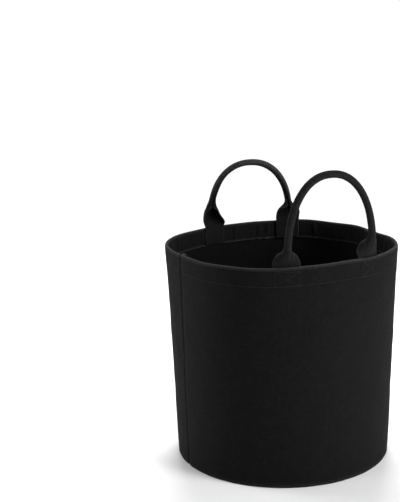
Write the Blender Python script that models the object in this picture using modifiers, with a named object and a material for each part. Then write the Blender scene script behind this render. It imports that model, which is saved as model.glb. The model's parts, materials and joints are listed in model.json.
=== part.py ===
"""Fabric grow bag: two felt wall panels, a sewn-in base and two rolled-strap handles.

Run with: blender --background --python part.py

The bag stands on z = 0 with the centre of its base at the origin. Its two side seams lie on
the X axis and its handles face -Y (front) and +Y (back). All lengths are in metres.
"""

from math import acos, asin, atan2, cos, pi, radians, sin

import bmesh
import bpy
from mathutils import Matrix, Vector

MM = 0.001

# Felt, thread and the gap kept between neighbouring pieces
FELT = 2.0 * MM
CLEARANCE = 0.3 * MM
THREAD_RADIUS = 0.35 * MM
THREAD_DEPTH = CLEARANCE + THREAD_RADIUS

# Bag
RIM_HEIGHT = 285.0 * MM
RIM_RADIUS = 150.0 * MM
BASE_RADIUS = 141.8 * MM
RIM_SQUARENESS = 0.0297
RIM_RIPPLE = 0.0044
RIM_SKEW = 0.0068
WALL_SEGMENTS = 36
WALL_ROWS = 3

# Turned edges: a fold holds two layers of felt a little apart
LAYER_GAP = 0.4 * MM
FOLD_RADIUS = (FELT + LAYER_GAP) / 2
FOLD_SEGMENTS = 4
WALL_DEPTH = FELT / 2
HEM_DEPTH = WALL_DEPTH + 2 * FOLD_RADIUS
HEM_HEIGHT = 26.0 * MM
BASE_ALLOWANCE = 9.0 * MM
SEAM_ALLOWANCE = 9.0 * MM
SEAM_CORNER_RADIUS = 5.0 * MM
SEAM_FLAT_Y = CLEARANCE / 2
SEAM_CORNER_SEGMENTS = 3
SEAM_FLAT_SEGMENTS = 2
ALLOWANCE_CUT_HEIGHT = 10.5 * MM

# Base panel
BASE_EDGE_RADIUS = BASE_RADIUS - HEM_DEPTH - FELT / 2 - 0.45 * MM
BASE_CORNER_RADIUS = 3.0 * MM
BASE_EDGE_HEIGHT = 8.0 * MM
BASE_SEGMENTS = 64

# Stitch rows
TOPSTITCH_DROP = 3.2 * MM
HEM_STITCH_DROP = 23.0 * MM
SIDE_STITCH_INSET = 6.8 * MM
BASE_STITCH_HEIGHT = 5.0 * MM
BOX_STITCH_WIDTH = 28.0 * MM
BOX_STITCH_HEIGHT = 18.5 * MM

# Handle strap: flat at its ends, rolled into a tube along the middle
STRAP_WIDTH = 33.0 * MM
ROLLED_WIDTH = 21.5 * MM
ROLLED_ANGLE = 5.9
ROLL_LENGTH = 25.0 * MM
ROLL_EASE = 1.6
TAIL_GAP = 0.5 * MM
TAIL_DEPTH = HEM_DEPTH + FELT / 2 + TAIL_GAP + FELT / 2
TAIL_TOP = -0.5 * MM
TAIL_BOTTOM = -25.0 * MM
HINGE_HEIGHT = 10.0 * MM
LOOP_START = 14.3 * MM
ARCH_BASE = 10.0 * MM
ARCH_HALF_WIDTH = 59.0 * MM
ARCH_HEIGHT = 95.5 * MM
ARCH_FULLNESS = 2.2
NECK_TOP = 34.0 * MM
NECK_STEPS = 9
ARCH_SEGMENTS = 18
STRAP_SEGMENTS = 10
FLEX_ROWS = 5
TAIL_COLUMNS = 6
TAIL_ROWS = 3
SLIT_TURN = radians(50)
SLIT_TURN_LENGTH = 45.0 * MM

# Each handle: the angles of its two ends around the bag, +1 or -1 for the side of the bag
# that it is on, how far it leans outward from upright, how far its arch is pushed along the
# hinge axis, how much further it sways that way for each metre of height, and the rise above
# the rim where its strap starts to roll up
FRONT_HANDLE = {
    "left": radians(-116.0), "right": radians(-70.2), "side": 1,
    "lean": 0.0, "shift": 4.2 * MM, "sway": 0.0, "roll_start": 0.5 * MM,
}
BACK_HANDLE = {
    "left": radians(101.2), "right": radians(56.2), "side": -1,
    "lean": radians(-28.0), "shift": 1.5 * MM, "sway": 0.16, "roll_start": 8.0 * MM,
}


def smoothstep(value):
    """0 below 0, 1 above 1, and an even S between."""
    value = min(max(value, 0.0), 1.0)
    return value * value * (3 - 2 * value)


# ---------------------------------------------------------------- scene and materials

def clear_scene():
    for old in list(bpy.data.objects):
        bpy.data.objects.remove(old, do_unlink=True)


def new_collection(name):
    collection = bpy.data.collections.new(name)
    bpy.context.scene.collection.children.link(collection)
    return collection


def fabric_material(name, color, roughness):
    material = bpy.data.materials.new(name)
    material.use_nodes = True
    shader = material.node_tree.nodes["Principled BSDF"]
    shader.inputs["Base Color"].default_value = (*color, 1.0)
    shader.inputs["Roughness"].default_value = roughness
    shader.inputs["Metallic"].default_value = 0.0
    return material


def add_piece(name, data, parts, color, roughness):
    """Wraps a mesh or curve in an object of the same name, with a material of its own."""
    piece = bpy.data.objects.new(name, data)
    data.materials.append(fabric_material(name, color, roughness))
    parts.objects.link(piece)
    return piece


def felt_sheet(name, columns, rows, place, parts):
    """A piece of felt whose middle surface goes through place(column, row)."""
    bm = bmesh.new()
    bmesh.ops.create_grid(bm, x_segments=columns, y_segments=rows, size=0.5)
    for vert in bm.verts:
        column = round((vert.co.x + 0.5) * columns)
        row = round((vert.co.y + 0.5) * rows)
        vert.co = place(column, row)
    mesh = bpy.data.meshes.new(name)
    bm.to_mesh(mesh)
    bm.free()
    mesh.shade_smooth()
    sheet = add_piece(name, mesh, parts, color=(0.013, 0.013, 0.014), roughness=0.95)
    thicken = sheet.modifiers.new("felt thickness", "SOLIDIFY")
    thicken.thickness = FELT
    thicken.offset = 0.0
    return sheet


def felt_loft(name, rows, parts):
    """A closed strip lofted through rows, each one the points across its outer and inner face."""
    bm = bmesh.new()
    rings = [[bm.verts.new(point) for point in outer + inner[::-1]] for outer, inner in rows]
    count = len(rings[0])
    for lower, upper in zip(rings, rings[1:]):
        for index in range(count):
            following = (index + 1) % count
            bm.faces.new((lower[index], lower[following], upper[following], upper[index]))
    for ring in (rings[0], rings[-1]):
        for index in range(count // 2 - 1):
            opposite = count - 1 - index
            bm.faces.new((ring[index], ring[index + 1], ring[opposite - 1], ring[opposite]))
    bmesh.ops.recalc_face_normals(bm, faces=bm.faces)
    mesh = bpy.data.meshes.new(name)
    bm.to_mesh(mesh)
    bm.free()
    mesh.shade_smooth()
    return add_piece(name, mesh, parts, color=(0.013, 0.013, 0.014), roughness=0.95)


def thread(name, points, parts):
    """A row of stitches as one run of thread through the points."""
    curve = bpy.data.curves.new(name, "CURVE")
    curve.dimensions = "3D"
    curve.bevel_depth = THREAD_RADIUS
    curve.bevel_resolution = 0
    curve.use_fill_caps = True
    spline = curve.splines.new("POLY")
    spline.points.add(len(points) - 1)
    for target, point in zip(spline.points, points):
        target.co = (*point, 1.0)
    return add_piece(name, curve, parts, color=(0.02, 0.02, 0.02), roughness=0.7)


# ---------------------------------------------------------------- wall outline

def wall_radius(angle, height):
    """Distance from the bag's axis to the outer face: round at the base, squarer at the rim."""
    rise = height / RIM_HEIGHT
    radius = BASE_RADIUS + (RIM_RADIUS - BASE_RADIUS) * rise
    wave = RIM_SKEW * sin(2 * angle)
    wave -= RIM_SQUARENESS * cos(4 * angle) + RIM_RIPPLE * cos(6 * angle)
    return radius * (1 + rise * wave)


def wall_station(angle, height):
    """Point on the outer face and the direction into the bag, both in plan."""
    step = 0.001
    radius = wall_radius(angle, height)
    slope = (wall_radius(angle + step, height) - wall_radius(angle - step, height)) / (2 * step)
    point = Vector((radius * cos(angle), radius * sin(angle)))
    along = Vector((slope * cos(angle) - point.y, slope * sin(angle) + point.x)).normalized()
    return point, Vector((-along.y, along.x))


def on_wall(angle, height, depth):
    """Point at a depth inside the outer face."""
    point, inward = wall_station(angle, height)
    return Vector((*(point + inward * depth), height))


def seam_corner(height, mirror):
    """Where the outer face leaves the wall at a side seam, to turn into the bag.

    mirror is 1 at the +X seam and -1 at the -X seam, which is worked out mirrored in X.
    Returns the wall's angle from the seam, the turn in radians and the X where it ends.
    """
    angle = SEAM_CORNER_RADIUS / BASE_RADIUS
    for _ in range(4):
        point, inward = wall_station(angle if mirror == 1 else pi - angle, height)
        turn = atan2(-inward.x * mirror, inward.y)
        angle = asin((SEAM_FLAT_Y + SEAM_CORNER_RADIUS * (1 - cos(turn))) / point.length)
    return angle, turn, abs(point.x) - SEAM_CORNER_RADIUS * sin(turn)


def seam_stations(height, mirror):
    """Stations from the edge of the seam allowance round the corner, short of the wall."""
    _, turn, corner_x = seam_corner(height, mirror)
    edge_x = corner_x + SEAM_CORNER_RADIUS - SEAM_ALLOWANCE
    stations = []
    for step in range(SEAM_FLAT_SEGMENTS):
        x = edge_x + (corner_x - edge_x) * step / SEAM_FLAT_SEGMENTS
        stations.append((Vector((x * mirror, SEAM_FLAT_Y)), Vector((0.0, 1.0))))
    for step in range(SEAM_CORNER_SEGMENTS):
        bend = turn * step / SEAM_CORNER_SEGMENTS
        x = corner_x + SEAM_CORNER_RADIUS * sin(bend)
        y = SEAM_FLAT_Y + SEAM_CORNER_RADIUS * (1 - cos(bend))
        stations.append((Vector((x * mirror, y)), Vector((-sin(bend) * mirror, cos(bend)))))
    return stations


def wall_stations(height):
    """Stations along the wall between its two seam corners, from +X round to -X."""
    first = seam_corner(height, 1)[0]
    last = pi - seam_corner(height, -1)[0]
    spacing = (last - first) / WALL_SEGMENTS
    return [wall_station(first + spacing * step, height) for step in range(WALL_SEGMENTS + 1)]


def panel_outline(height):
    """All stations of one wall panel's outer face at a height."""
    return seam_stations(height, 1) + wall_stations(height) + seam_stations(height, -1)[::-1]


def panel_profile():
    """(height, depth) rows of a wall panel, from its folded-in foot up and over the rim."""
    foot_z = FELT / 2 + FOLD_RADIUS
    rim_z = RIM_HEIGHT - foot_z
    fold_depth = WALL_DEPTH + FOLD_RADIUS
    bends = [pi * step / FOLD_SEGMENTS for step in range(FOLD_SEGMENTS + 1)]
    turns = [(FOLD_RADIUS * sin(bend), FOLD_RADIUS * cos(bend)) for bend in bends]
    foot = [(foot_z - out, fold_depth + across) for out, across in turns]
    rim = [(rim_z + out, fold_depth - across) for out, across in turns]
    rises = [step / WALL_ROWS for step in range(1, WALL_ROWS)]
    side = [(foot_z + (rim_z - foot_z) * rise, WALL_DEPTH) for rise in rises]
    hem_bottom = RIM_HEIGHT - HEM_HEIGHT
    hem = [((rim_z + hem_bottom) / 2, HEM_DEPTH), (hem_bottom, HEM_DEPTH)]
    return [(BASE_ALLOWANCE, HEM_DEPTH)] + foot + side + rim + hem


# ---------------------------------------------------------------- bag

def make_wall_panel(name, turn, parts, cutter):
    """A wall panel, turned about Z into place, with its side allowances cut clear of the base."""
    profile = panel_profile()
    outlines = [panel_outline(height) for height, _ in profile]

    def place(column, row):
        point, inward = outlines[row][column]
        height, depth = profile[row]
        return Vector((*(point + inward * depth), height))

    panel = felt_sheet(name, len(outlines[0]) - 1, len(profile) - 1, place, parts)
    panel.rotation_euler.z = turn
    cut = panel.modifiers.new("room for the base", "BOOLEAN")
    cut.operation = "DIFFERENCE"
    cut.object = cutter
    return panel


def make_base_room(cutters):
    """The disc-shaped room that the base panel takes up inside the foot of the wall."""
    below = 5 * MM
    radius = BASE_EDGE_RADIUS + CLEARANCE
    height = ALLOWANCE_CUT_HEIGHT + below
    bm = bmesh.new()
    bmesh.ops.create_cone(
        bm, cap_ends=True, segments=BASE_SEGMENTS, radius1=radius, radius2=radius, depth=height
    )
    bmesh.ops.translate(bm, verts=bm.verts, vec=(0, 0, height / 2 - below))
    mesh = bpy.data.meshes.new("base_room")
    bm.to_mesh(mesh)
    bm.free()
    room = bpy.data.objects.new("base_room", mesh)
    room.hide_render = True
    room.display_type = "WIRE"
    cutters.objects.link(room)
    return room


def make_base_panel(parts):
    """A felt disc whose edge is turned up inside the wall, turned from its section."""
    edge = BASE_EDGE_RADIUS
    corner = BASE_CORNER_RADIUS
    inner_corner = corner - FELT
    bends = [pi / 2 * step / 3 for step in range(4)]
    outer = [(edge - corner + corner * cos(bend), corner - corner * sin(bend)) for bend in bends]
    inner = [
        (edge - corner + inner_corner * cos(bend), corner - inner_corner * sin(bend))
        for bend in reversed(bends)
    ]
    top = [(edge - FELT, BASE_EDGE_HEIGHT), (edge, BASE_EDGE_HEIGHT)]
    section = [(0.0, FELT)] + inner + top + outer + [(0.0, 0.0)]
    mesh = bpy.data.meshes.new("base_panel")
    edges = [(index, index + 1) for index in range(len(section) - 1)]
    mesh.from_pydata([(x, 0.0, z) for x, z in section], edges, [])
    base = add_piece("base_panel", mesh, parts, color=(0.013, 0.013, 0.014), roughness=0.95)
    spin = base.modifiers.new("turned", "SCREW")
    spin.steps = BASE_SEGMENTS
    spin.render_steps = BASE_SEGMENTS
    spin.use_merge_vertices = True
    spin.merge_threshold = 0.00001
    spin.use_smooth_shade = True
    return base


def make_wall_stitches(name, turn, drop, parts):
    """A row of stitches round the outside of one panel, a drop below the rim."""
    height = RIM_HEIGHT - drop
    points = [point - inward * THREAD_DEPTH for point, inward in wall_stations(height)]
    row = thread(name, [(*point, height) for point in points], parts)
    row.rotation_euler.z = turn


def make_side_seam(name, turn, parts):
    """The seam through both panels' side allowances, from above the base to below the hem."""
    y = SEAM_FLAT_Y + FELT + THREAD_DEPTH
    ends = (ALLOWANCE_CUT_HEIGHT + 2 * MM, RIM_HEIGHT - HEM_HEIGHT - 2 * MM)
    points = [(wall_radius(0.0, height) - SIDE_STITCH_INSET, y, height) for height in ends]
    seam = thread(name, points, parts)
    seam.rotation_euler.z = turn


def make_base_seam(parts):
    """The seam through the wall's foot and the base's turned-up edge, seen from inside."""
    bpy.ops.mesh.primitive_torus_add(
        location=(0, 0, BASE_STITCH_HEIGHT),
        major_radius=BASE_EDGE_RADIUS - FELT - THREAD_DEPTH,
        minor_radius=THREAD_RADIUS,
        major_segments=BASE_SEGMENTS,
        minor_segments=4,
    )
    ring = bpy.context.object
    mesh = ring.data
    mesh.name = "base_seam_thread"
    for collection in list(ring.users_collection):
        collection.objects.unlink(ring)
    bpy.data.objects.remove(ring)
    seam = add_piece("base_seam_thread", mesh, parts, color=(0.02, 0.02, 0.02), roughness=0.7)
    seam.location.z = BASE_STITCH_HEIGHT


# ---------------------------------------------------------------- handles

def handle_frame(handle):
    """Upright frame of a handle, with its origin on the hinge line midway between its ends.

    X is the hinge axis (a positive turn is outward), Y points into the bag and Z is up.
    Also returns, for each end from -X to +X, how far across it is and how far its face turns.
    """
    names = ("left", "right") if handle["side"] == 1 else ("right", "left")
    ends = [on_wall(handle[name], RIM_HEIGHT, TAIL_DEPTH) for name in names]
    middle = (ends[0] + ends[1]) / 2
    axis = (ends[1] - ends[0]).normalized()
    up = Vector((0, 0, 1))
    into = up.cross(axis)
    origin = middle + up * HINGE_HEIGHT
    frame = Matrix.Translation(origin) @ Matrix((axis, into, up)).transposed().to_4x4()
    half_chord = (ends[1] - ends[0]).length / 2
    turns = []
    for name in names:
        inward = wall_station(handle[name], RIM_HEIGHT)[1]
        turns.append(acos(inward.dot(into.xy)))
    return frame, half_chord, turns


def strap_width(rolled):
    """Developed width of the strap, whose edges tuck in as it rolls: 0 is flat, 1 is a tube."""
    return STRAP_WIDTH + (ROLLED_WIDTH - STRAP_WIDTH) * smoothstep(rolled)


def roll_angle(rolled):
    """Angle of the arc that the strap's section bends into."""
    flat = STRAP_WIDTH / RIM_RADIUS
    return flat + (ROLLED_ANGLE - flat) * rolled ** ROLL_EASE


def arch_point(angle, handle):
    """Middle of the strap at an angle round the arch, a superellipse, from -X to +X."""
    power = 2 / ARCH_FULLNESS
    climb = ARCH_HEIGHT * sin(angle) ** power
    across = ARCH_HALF_WIDTH * abs(cos(angle)) ** power
    across = across if angle > pi / 2 else -across
    across += handle["shift"] + handle["sway"] * climb
    return Vector((across, 0, ARCH_BASE + climb - HINGE_HEIGHT))


def leg_point(rise, side, half_chord, handle):
    """Middle of one leg of the strap at a rise above the rim."""
    if rise > ARCH_BASE:
        climb = asin(((rise - ARCH_BASE) / ARCH_HEIGHT) ** (ARCH_FULLNESS / 2))
        return arch_point(climb if side == -1 else pi - climb, handle)
    settled = smoothstep(rise / ARCH_BASE)
    across = side * (half_chord + (ARCH_HALF_WIDTH - half_chord) * settled)
    return Vector((across + handle["shift"] * settled, 0, rise - HINGE_HEIGHT))


def rolled_share(rise, handle):
    """How far the strap has rolled up at a rise above the rim, from 0 to 1."""
    return min(max((rise - handle["roll_start"]) / ROLL_LENGTH, 0.0), 1.0)


def strap_directions(along, slit_turn):
    """Directions out of the strap's slit and across it, for a strap that runs along.

    The slit faces +Y, turned by slit_turn towards the middle of the arch.
    """
    inner = Vector((along.z, 0, -along.x))
    slit = inner * sin(slit_turn) + Vector((0, cos(slit_turn), 0))
    lateral = inner * cos(slit_turn) - Vector((0, sin(slit_turn), 0))
    return slit, lateral


def strap_section(center, along, slit_turn, rolled):
    """Points across the outer and the inner face of the strap, which bends into an arc."""
    slit, lateral = strap_directions(along, slit_turn)
    arc = roll_angle(rolled)
    radius = strap_width(rolled) / arc
    middle = radius * sin(arc / 2) / (arc / 2)
    faces = []
    for face_radius in (radius + FELT / 2, radius - FELT / 2):
        points = []
        for step in range(STRAP_SEGMENTS + 1):
            bend = arc * (step / STRAP_SEGMENTS - 0.5)
            reach = middle - face_radius * cos(bend)
            points.append(center + slit * reach + lateral * face_radius * sin(bend))
        faces.append(points)
    return faces


def loop_points(half_chord, handle):
    """Middle points along the loop, from its -X foot over the arch to its +X foot."""
    neck = NECK_TOP - LOOP_START
    rises = [LOOP_START + neck * step / NECK_STEPS for step in range(NECK_STEPS + 1)]
    first_leg = [leg_point(rise, -1, half_chord, handle) for rise in rises]
    last_leg = [leg_point(rise, 1, half_chord, handle) for rise in rises]
    first = asin(((NECK_TOP - ARCH_BASE) / ARCH_HEIGHT) ** (ARCH_FULLNESS / 2))
    angles = [first + (pi - 2 * first) * step / ARCH_SEGMENTS for step in range(1, ARCH_SEGMENTS)]
    arch = [arch_point(angle, handle) for angle in angles]
    return first_leg + arch + last_leg[::-1]


def make_loop(prefix, pivot, half_chord, turns, handle, parts):
    """The rolled strap and the closing stitch that lies along its slit."""
    points = loop_points(half_chord, handle)
    stitch_reach = ROLLED_WIDTH / ROLLED_ANGLE + FELT / 2 + CLEARANCE
    sections = []
    stitches = []
    for index, center in enumerate(points):
        rise = center.z + HINGE_HEIGHT
        if index in (0, len(points) - 1):
            along = Vector((0, 0, 1 if index == 0 else -1))
        else:
            along = (points[index + 1] - points[index - 1]).normalized()
        end_turn = turns[0] if index < len(points) / 2 else turns[1]
        turned = smoothstep((rise - LOOP_START) / SLIT_TURN_LENGTH)
        slit_turn = end_turn + (SLIT_TURN - end_turn) * turned
        rolled = rolled_share(rise, handle)
        sections.append(strap_section(center, along, slit_turn, rolled))
        if rolled == 1:
            stitches.append(center + strap_directions(along, slit_turn)[0] * stitch_reach)
    strap = felt_loft(prefix + "_strap", sections, parts)
    strap.parent = pivot
    stitch = thread(prefix + "_closing_stitch", stitches, parts)
    stitch.parent = pivot


def make_flex(name, frame, side, half_chord, turn, handle, parts):
    """The short length of strap that bends between a tail and the loop."""
    bottom = TAIL_TOP + CLEARANCE
    top = LOOP_START - CLEARANCE
    bend = Matrix.Rotation(handle["lean"], 3, "X")
    sections = []
    for row in range(FLEX_ROWS + 1):
        rise = bottom + (top - bottom) * row / FLEX_ROWS
        center = leg_point(max(rise, 0.0), side, half_chord, handle)
        center.z = rise - HINGE_HEIGHT
        rolled = rolled_share(rise, handle)
        upright = strap_section(center, Vector((0, 0, -side)), turn, rolled)
        share = smoothstep((rise - bottom) / (top - bottom))
        sections.append([[point.lerp(bend @ point, share) for point in face] for face in upright])
    flex = felt_loft(name, sections, parts)
    flex.matrix_world = frame


def make_tail(name, angle, parts):
    """One flat end of a strap, lying on the inside of the hem."""

    def place(column, row):
        across = STRAP_WIDTH * (column / TAIL_COLUMNS - 0.5)
        height = RIM_HEIGHT + TAIL_BOTTOM + (TAIL_TOP - TAIL_BOTTOM) * row / TAIL_ROWS
        return on_wall(angle + across / RIM_RADIUS, height, TAIL_DEPTH)

    felt_sheet(name, TAIL_COLUMNS, TAIL_ROWS, place, parts)


def make_box_stitch(name, angle, parts):
    """A stitched box with a cross in it, which fastens a tail through the hem and the wall."""
    depth = TAIL_DEPTH + FELT / 2 + THREAD_DEPTH + 0.1 * MM
    middle = RIM_HEIGHT + (TAIL_BOTTOM - TOPSTITCH_DROP) / 2
    bm = bmesh.new()
    bmesh.ops.create_grid(bm, x_segments=1, y_segments=1, size=0.5)
    bmesh.ops.poke(bm, faces=bm.faces)
    for vert in bm.verts:
        around = angle + vert.co.x * BOX_STITCH_WIDTH / RIM_RADIUS
        vert.co = on_wall(around, middle + vert.co.y * BOX_STITCH_HEIGHT, depth)
    mesh = bpy.data.meshes.new(name)
    bm.to_mesh(mesh)
    bm.free()
    box = add_piece(name, mesh, parts, color=(0.02, 0.02, 0.02), roughness=0.7)
    wires = box.modifiers.new("stitches", "WIREFRAME")
    wires.thickness = 2 * THREAD_RADIUS
    wires.offset = 0.0
    wires.use_boundary = True
    wires.use_even_offset = True


def make_handle(prefix, handle, parts):
    frame, half_chord, turns = handle_frame(handle)
    pivot = bpy.data.objects.new(prefix + "_pivot", None)
    pivot.empty_display_size = 20 * MM
    pivot.matrix_world = frame @ Matrix.Rotation(handle["lean"], 4, "X")
    parts.objects.link(pivot)
    make_loop(prefix, pivot, half_chord, turns, handle, parts)
    for end in ("left", "right"):
        side = handle["side"] * (1 if end == "right" else -1)
        turn = turns[0] if side == -1 else turns[1]
        make_tail(f"{prefix}_tail_{end}", handle[end], parts)
        make_box_stitch(f"{prefix}_box_stitch_{end}", handle[end], parts)
        make_flex(f"{prefix}_flex_{end}", frame, side, half_chord, turn, handle, parts)


def main():
    clear_scene()
    parts = new_collection("fabric_grow_bag")
    cutters = new_collection("cutters")
    base_room = make_base_room(cutters)
    for name, turn in (("front", pi), ("back", 0.0)):
        make_wall_panel("wall_panel_" + name, turn, parts, base_room)
        make_wall_stitches("rim_topstitch_" + name, turn, TOPSTITCH_DROP, parts)
        make_wall_stitches("hem_stitch_" + name, turn, HEM_STITCH_DROP, parts)
    make_base_panel(parts)
    make_base_seam(parts)
    make_side_seam("side_seam_thread_right", 0.0, parts)
    make_side_seam("side_seam_thread_left", pi, parts)
    make_handle("front_handle", FRONT_HANDLE, parts)
    make_handle("back_handle", BACK_HANDLE, parts)


main()
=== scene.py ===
"""The looks of the fabric grow bag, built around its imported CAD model.

Each piece of felt is one sheet of cloth, 2 mm thick, bent the way it is sewn: the wall panels
with their turned rims, feet and side seams, the base, and the two straps, which run flat up
the inside of the hem, roll up and arch over. Stitches are separate lengths of thread.
Lengths are in metres.
"""

from math import acos, asin, atan2, cos, pi, radians, sin, sqrt

import bpy
import numpy as np
from mathutils import Matrix, Vector
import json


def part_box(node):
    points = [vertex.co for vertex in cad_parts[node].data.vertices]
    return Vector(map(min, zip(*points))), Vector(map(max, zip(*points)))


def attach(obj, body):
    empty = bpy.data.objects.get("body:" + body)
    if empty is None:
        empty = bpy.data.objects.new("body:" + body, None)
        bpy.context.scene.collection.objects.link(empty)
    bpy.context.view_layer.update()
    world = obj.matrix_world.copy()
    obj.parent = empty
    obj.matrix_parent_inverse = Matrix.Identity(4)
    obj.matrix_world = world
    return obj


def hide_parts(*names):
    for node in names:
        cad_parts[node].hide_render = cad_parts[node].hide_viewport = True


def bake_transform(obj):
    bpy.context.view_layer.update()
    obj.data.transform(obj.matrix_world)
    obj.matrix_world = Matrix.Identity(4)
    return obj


MM = 0.001

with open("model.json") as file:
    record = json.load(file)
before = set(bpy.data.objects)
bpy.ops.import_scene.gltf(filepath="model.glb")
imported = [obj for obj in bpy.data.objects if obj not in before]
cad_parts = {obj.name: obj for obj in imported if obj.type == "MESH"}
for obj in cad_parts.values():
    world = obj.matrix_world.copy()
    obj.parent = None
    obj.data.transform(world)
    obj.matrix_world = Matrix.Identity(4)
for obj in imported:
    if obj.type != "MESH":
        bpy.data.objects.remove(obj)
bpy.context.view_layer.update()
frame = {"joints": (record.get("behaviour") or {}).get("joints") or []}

# Sizes that the CAD model has too
FELT = 2.0 * MM
RIM_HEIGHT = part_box("wall_panel_front")[1].z
RIM_RADIUS = 150.0 * MM
BASE_RADIUS = 141.8 * MM
RIM_SQUARENESS = 0.0297
RIM_RIPPLE = 0.0044
RIM_SKEW = 0.0068
LAYER_GAP = 0.4 * MM
FOLD_RADIUS = (FELT + LAYER_GAP) / 2
WALL_DEPTH = FELT / 2
HEM_DEPTH = WALL_DEPTH + 2 * FOLD_RADIUS
HEM_HEIGHT = 26.0 * MM
HEM_EDGE = RIM_HEIGHT - HEM_HEIGHT
FOOT_HEIGHT = 9.0 * MM
SEAM_ALLOWANCE = 9.0 * MM
SEAM_CORNER_RADIUS = 5.0 * MM
SEAM_FLAT_Y = 0.15 * MM
TRIMMED_ALLOWANCE = 4.1 * MM
TRIMMED_HEIGHT = 11.0 * MM
TRIM_LENGTH = 5.0 * MM
BASE_EDGE_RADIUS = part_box("base_panel")[1].x
BASE_CORNER_RADIUS = 3.0 * MM
BASE_EDGE_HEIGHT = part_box("base_panel")[1].z
TOPSTITCH_DROP = 3.2 * MM
HEM_STITCH_DROP = 23.0 * MM
SIDE_STITCH_INSET = 6.8 * MM
BASE_STITCH_HEIGHT = 5.0 * MM
BOX_STITCH_WIDTH = 29.5 * MM
BOX_STITCH_HEIGHT = 18.5 * MM
TAIL_DEPTH = HEM_DEPTH + FELT + 0.5 * MM
TAIL_BOTTOM = -25.0 * MM
BOX_MIDDLE = RIM_HEIGHT + (TAIL_BOTTOM - TOPSTITCH_DROP) / 2
HINGE_HEIGHT = 10.0 * MM
ARCH_BASE = 10.0 * MM
ARCH_HALF_WIDTH = 59.0 * MM
ARCH_HEIGHT = 95.5 * MM
ARCH_FULLNESS = 2.2

# The two handles. Angles place their ends round the bag; side is 1 on the front and -1 on
# the back; tail_width is the strap's width where it is sewn down; the number after it is how
# much lighter the outer side of the rolled loop is, partly from wear and partly a painted
# highlight, most of it painted on the back handle. Each end starts to roll up at a rise above
# the rim, takes a length to do it at an ease, about 1 for evenly and more for late, and twists
# a little as it does.
HANDLES = {
    "front_handle": {
        "side": 1, "lean": 0.0, "shift": 4.2 * MM, "sway": 0.0, "tail_width": 34.5 * MM,
        "rubbed_and_highlighted": 0.17,
        "left": {"angle": radians(-116.0), "roll_start": 0.0, "roll_length": 23.5 * MM,
                 "roll_ease": 1.25, "twist": 0.0},
        "right": {"angle": radians(-70.2), "roll_start": -2.0 * MM, "roll_length": 30.0 * MM,
                  "roll_ease": 1.1, "twist": radians(-14)},
    },
    "back_handle": {
        "side": -1, "lean": radians(-28.0), "shift": 1.5 * MM, "sway": 0.16,
        "tail_width": 33.0 * MM, "rubbed_and_highlighted": 0.85,
        "left": {"angle": radians(101.2), "roll_start": 0.0, "roll_length": 52.0 * MM,
                 "roll_ease": 0.95, "twist": radians(-22)},
        "right": {"angle": radians(56.2), "roll_start": 9.0 * MM, "roll_length": 27.0 * MM,
                  "roll_ease": 1.6, "twist": 0.0},
    },
}
PANEL_TURN = {"front": pi, "back": 0.0}

# How finely the wall panels are divided, and the row on which their flat width is measured
PANEL_COLUMNS = 256
COLUMNS_PER_STITCH = 2
CORNER_COLUMNS = 7
FLAT_COLUMNS = 9
ALLOWANCE_ANGLE = 0.09
MEASURED_ROW = 70

# Seams and stitches
SEAM_LIE = 0.8 * MM
STITCH_LENGTH = 3.4 * MM
BOX_STITCH_LENGTH = 3.0 * MM
CLOSING_STITCH_LENGTH = 4.2 * MM
STITCH_SECTIONS = 7
STITCH_SIDES = 6
STITCH_SHARE = 0.92
STITCH_JITTER = 0.07 * MM
THREAD_RADIUS = 0.30 * MM
GROOVE_DEPTH = 0.16 * MM
HEM_GROOVE_DEPTH = 0.30 * MM
GROOVE_WIDTH = 1.2 * MM
WALL_SQUEEZE = 0.16
HEM_SQUEEZE = 0.40
BETWEEN_STITCHES = 0.44

# How the felt is out of its plain shape, and the sizes of its bumps
TAIL_MARK = 0.30 * MM
HEM_MARK = 0.22 * MM
PANEL_SWELL, PANEL_SWELL_SIZE = 0.75 * MM, 75 * MM
PANEL_DENTS, PANEL_DENT_SIZE = 0.16 * MM, 17 * MM
PANEL_NAP, PANEL_NAP_SIZE = 0.07 * MM, 5.5 * MM
RIM_WAVE, RIM_WAVE_SIZE = 0.45 * MM, 45 * MM
BASE_WAVE, BASE_WAVE_SIZE = 0.35 * MM, 40 * MM
HEM_WRINKLE, HEM_WRINKLE_SIZE = 0.28 * MM, 5 * MM
NECK_WRINKLE, NECK_WRINKLE_SIZE = 0.25 * MM, 5.5 * MM
PLEATS = 24
PLEAT_HEIGHT = 2.2 * MM
SEEDS = {
    "front": {"swell": 11, "rim": 41, "pleats": 61},
    "back": {"swell": 23, "rim": 53, "pleats": 73},
}
BASE_SEED = 5
NECK_SEED = 91

# The straps: how long each change takes as they leave the hem, and how they roll up
STRAP_WIDTH = 33.0 * MM
STRAP_COLUMNS = 34
ACROSS_STRAP = np.linspace(-0.5, 0.5, STRAP_COLUMNS + 1)
SETTLE_LENGTH = 28.0 * MM
TWIST_LENGTH = 12.0 * MM
BEND_LENGTH = 20.0 * MM
BEND_STEPS = 80
NARROWING_LENGTH = 22.0 * MM
UPRIGHT_LENGTH = 8.0 * MM
PARTING_LENGTH = 6.0 * MM
LEG_HEIGHT = 34.0 * MM
SLIT_TURN = radians(50)
SLIT_TURN_LENGTH = 40.0 * MM
SLIT_TURN_LEAD = 6.0 * MM
SLIT_DEPTH = 2.65 * MM
SLIT_GAP = 0.06 * MM
TUCK_START = 0.55
ROLL_RADIUS = 3.65 * MM
ROLL_ARC = radians(130)
TUCK_RADIUS = 1.1 * MM
TUCK_ARC = radians(140)
ROLLED_BEND = 5.9
SECTION_STEPS = 6
# Each crease's place across the strap, in strap widths, and its share of the full depth
CREASES = ((-0.27, 0.9), (-0.12, 1.0), (0.06, 0.45), (0.24, 0.7))
CREASE_DEPTH = 1.2 * MM
CREASE_WIDTH = 1.5 * MM
CREASED_AT, CREASED_SPAN = 0.62, 0.30
STRAP_WEAR = 0.1
SEWN_THICKNESS = 0.6


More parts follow.
